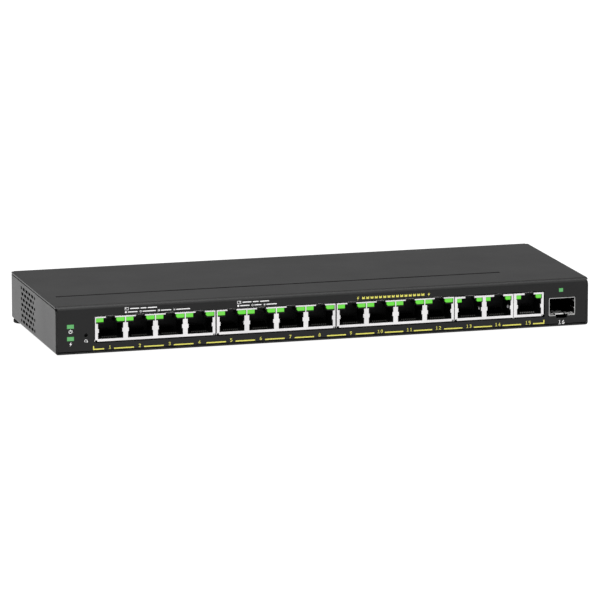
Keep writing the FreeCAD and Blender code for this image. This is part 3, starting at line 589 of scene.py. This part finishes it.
def ring(bm, x, z, ro, ri, a0=0.0, a1=360.0, seg=24):
    """Band between two radii, whole or over part of a turn."""
    whole = a1 - a0 >= 360
    rows = []
    for k in range(seg + (0 if whole else 1)):
        a = math.radians(a0 + (a1 - a0) * k / seg)
        row = []
        for r, y in ((ro, PANEL_Y - INK), (ri, PANEL_Y - INK), (ri, PANEL_Y), (ro, PANEL_Y)):
            px, pz = P(x + r * math.cos(a), z + r * math.sin(a))
            row.append(bm.verts.new((px, y, pz)))
        rows.append(row)
    n = len(rows)
    for k in range(n if whole else n - 1):
        a, b = rows[k], rows[(k + 1) % n]
        for q in range(4):
            bm.faces.new((a[q], a[(q + 1) % 4], b[(q + 1) % 4], b[q]))
    if not whole:
        bm.faces.new(rows[0])
        bm.faces.new(list(reversed(rows[-1])))


def bolt(bm, x, z, h):
    s = h / 2.0
    mark(bm, [(x + 0.30 * s, z + s), (x - 0.62 * s, z - 0.14 * s), (x - 0.06 * s, z - 0.14 * s),
              (x - 0.34 * s, z - s), (x + 0.62 * s, z + 0.20 * s), (x + 0.08 * s, z + 0.20 * s)])


def pictograms():
    """Plain signs in place of words: power, supply, reset, lamp key, row of fed ports."""
    bm = bmesh.new()
    # power
    x, z = -135.8, 11.95
    ring(bm, x, z, 0.98, 0.66, 125.0, 415.0, 22)
    mark(bm, [(x - 0.16, z + 0.12), (x + 0.16, z + 0.12), (x + 0.16, z + 1.15), (x - 0.16, z + 1.15)])
    # supply over the cable
    bolt(bm, -135.8, 5.45, 2.3)
    # reset: open ring with an arrow head
    x, z = -127.75, 6.75
    ring(bm, x, z, 0.78, 0.52, -30.0, 250.0, 20)
    mark(bm, [(x + 0.65 - 0.48, z - 0.30), (x + 0.65 + 0.40, z - 0.30), (x + 0.60, z - 0.92)])
    # two keys: a socket with one lamp filled, then lamp states
    for x0, side, states in ((-107.2, -1, (("on", 5.2), ("off", 7.0), ("half", 5.6), ("ray", 7.4))),
                             (-47.6, 1, (("on", 5.0), ("off", 3.8), ("ray", 5.6)))):
        z = 22.35
        for a, b, c, d in ((x0, x0 + 2.0, z + 0.52, z + 0.70), (x0, x0 + 2.0, z - 0.70, z - 0.52),
                           (x0, x0 + 0.18, z - 0.52, z + 0.52), (x0 + 1.82, x0 + 2.0, z - 0.52, z + 0.52)):
            mark(bm, [(a, c), (b, c), (b, d), (a, d)])
        lx = x0 + 0.28 if side < 0 else x0 + 1.20
        mark(bm, [(lx, z + 0.02), (lx + 0.52, z + 0.02), (lx + 0.52, z + 0.44), (lx, z + 0.44)])
        for a, b in ((2.8, 7.6), (8.3, 11.4), (12.1, 17.0)):
            bar(bm, x0 + a, x0 + b, z, 0.50)
        z, xs = 20.60, x0
        for kind, w in states:
            if kind == "on":
                disc(bm, xs + 0.55, z, 0.52)
            elif kind == "off":
                ring(bm, xs + 0.55, z, 0.52, 0.34)
            elif kind == "half":
                ring(bm, xs + 0.55, z, 0.52, 0.34, 90.0, 270.0, 14)
                disc(bm, xs + 0.55, z, 0.52, -90.0, 90.0, 14)
            else:
                disc(bm, xs + 0.55, z, 0.28, seg=12)
                for k in range(6):
                    a = math.radians(60.0 * k)
                    c, s = math.cos(a), math.sin(a)
                    mark(bm, [(xs + 0.55 + 0.40 * c - 0.07 * s, z + 0.40 * s + 0.07 * c),
                              (xs + 0.55 + 0.40 * c + 0.07 * s, z + 0.40 * s - 0.07 * c),
                              (xs + 0.55 + 0.66 * c + 0.07 * s, z + 0.66 * s - 0.07 * c),
                              (xs + 0.55 + 0.66 * c - 0.07 * s, z + 0.66 * s + 0.07 * c)])
            bar(bm, xs + 1.55, xs + 1.55 + w, z, 0.50)
            xs += w + 2.6
    ob = new_object("printed_signs_white", bm, "ink_white")
    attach(ob, "case")
    bm = bmesh.new()
    z = 21.05
    bolt(bm, 17.2, z, 2.1)
    bolt(bm, 55.6, z, 2.1)
    for k in range(15):
        xa = 19.4 + 2.3 * k
        mark(bm, [(xa, z - 0.60), (xa + 1.5, z - 0.60), (xa + 1.5, z + 0.60), (xa + 1.08, z + 0.60),
                  (xa + 1.08, z + 0.24), (xa + 0.42, z + 0.24), (xa + 0.42, z + 0.60), (xa, z + 0.60)])
    ob = new_object("printed_signs_yellow", bm, "ink_yellow")
    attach(ob, "case")


def front_print():
    bm = bmesh.new()
    z0, z1 = LINE_Z
    for i, (a, b) in enumerate(SEGMENTS):
        if i == 0:
            pts = [(a + 0.2, z0), (b, z0), (b, z1), (a + 0.75, z1), (a + 0.75, 3.9), (a + 0.2, 3.9)]
        elif i == len(SEGMENTS) - 1:
            pts = [(a, z0), (b - 0.25, z0), (b - 0.25, 3.9), (b - 0.8, 3.9), (b - 0.8, z1), (a, z1)]
        else:
            pts = [(a, z0), (b, z0), (b, z1), (a, z1)]
        mark(bm, pts)
    ob = new_object("printed_lines", bm, "ink_yellow")
    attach(ob, "case")
    bm = bmesh.new()
    for i, c in enumerate(PORTS):
        add_number(bm, str(i + 1), 1.80, c - 0.5, 1.96)
    ob = new_object("printed_numbers", bm, "ink_yellow")
    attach(ob, "case")
    bm = bmesh.new()
    add_number(bm, "16", 2.10, 128.35, 1.14, 0.155)
    ob = new_object("printed_number_16", bm, "ink_white")
    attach(ob, "case")


front_print()
pictograms()


def finger_faces():
    """The fingers are part of the shields' sheet: painted shade goes on their faces, and a painted glint on the tips in
    the narrow gang.
    """
    for gang in ("1_4", "5_8", "9_12", "13_14", "15"):
        me = frame["nodes"]["jack_shield_" + gang].data
        me.materials.append(MATS["finger_shade"])
        me.materials.append(MATS["finger_glint_and_shade"])
        narrow = gang == "13_14"
        for p in me.polygons:
            x, y, z = p.center
            if y < PANEL_Y + 0.0003 or not 0.0118 < z < 0.0144:
                continue
            if min(abs(x - DATUM_X - c * MM) for c in PORTS) > 0.0066:
                continue
            # painted glint on the fingers of the narrow gang only
            tip_highlight = narrow and PANEL_Y + 0.0033 < y < PANEL_Y + 0.0051
            p.material_index = 2 if tip_highlight else 1


finger_faces()


# ------------------------------------------------------------------ stage
def stage():
    bm = bmesh.new()
    s = 9.0
    vs = [bm.verts.new(c) for c in ((-s, -s, 0), (s, -s, 0), (s, s, 0), (-s, s, 0))]
    bm.faces.new(vs)
    me = bpy.data.meshes.new("floor")
    bm.to_mesh(me)
    bm.free()
    ob = bpy.data.objects.new("floor", me)
    scene.collection.objects.link(ob)
    m = Mat("floor", Metallic=0.0, IOR=1.3)      # a white light table
    m.p.inputs["Specular IOR Level"].default_value = 0.0
    n = m.noise(3.0, 2.0)
    m.color(m.mix(m.span(n, 0.0, 1.0, 0.3, 0.7), (0.10, 0.10, 0.10), (0.11, 0.11, 0.11)))
    m.set("Roughness", 1.0)
    m.set("Emission Color", (1.0, 1.0, 1.0, 1.0))
    m.set("Emission Strength", 1.01)
    me.materials.append(m.m)


def light(name, kind, loc, target, power, size, size_y=None, colour=(1, 1, 1)):
    d = bpy.data.lights.new(name, kind)
    d.energy = power
    d.color = colour
    if kind == "AREA":
        d.shape = "RECTANGLE"
        d.size = size
        d.size_y = size_y or size
    ob = bpy.data.objects.new(name, d)
    scene.collection.objects.link(ob)
    ob.location = loc
    ob.rotation_mode = "QUATERNION"
    ob.rotation_quaternion = (Vector(target) - Vector(loc)).to_track_quat("-Z", "Y")
    return ob


def world():
    w = bpy.data.worlds.new("studio")
    scene.world = w
    w.use_nodes = True
    bg = w.node_tree.nodes.get("Background") or w.node_tree.nodes.new("ShaderNodeBackground")
    bg.inputs["Color"].default_value = (1.0, 1.0, 1.0, 1)
    bg.inputs["Strength"].default_value = 0.32


stage()
world()
light("overhead", "AREA", (-0.2, 0.2, 2.2), (0.0, 0.0, 0.0), 46.0, 2.4, 2.4)
light("front_fill", "AREA", (-0.6, -2.2, 2.4), (0.0, 0.0, 0.0), 44.0, 2.0, 2.0)
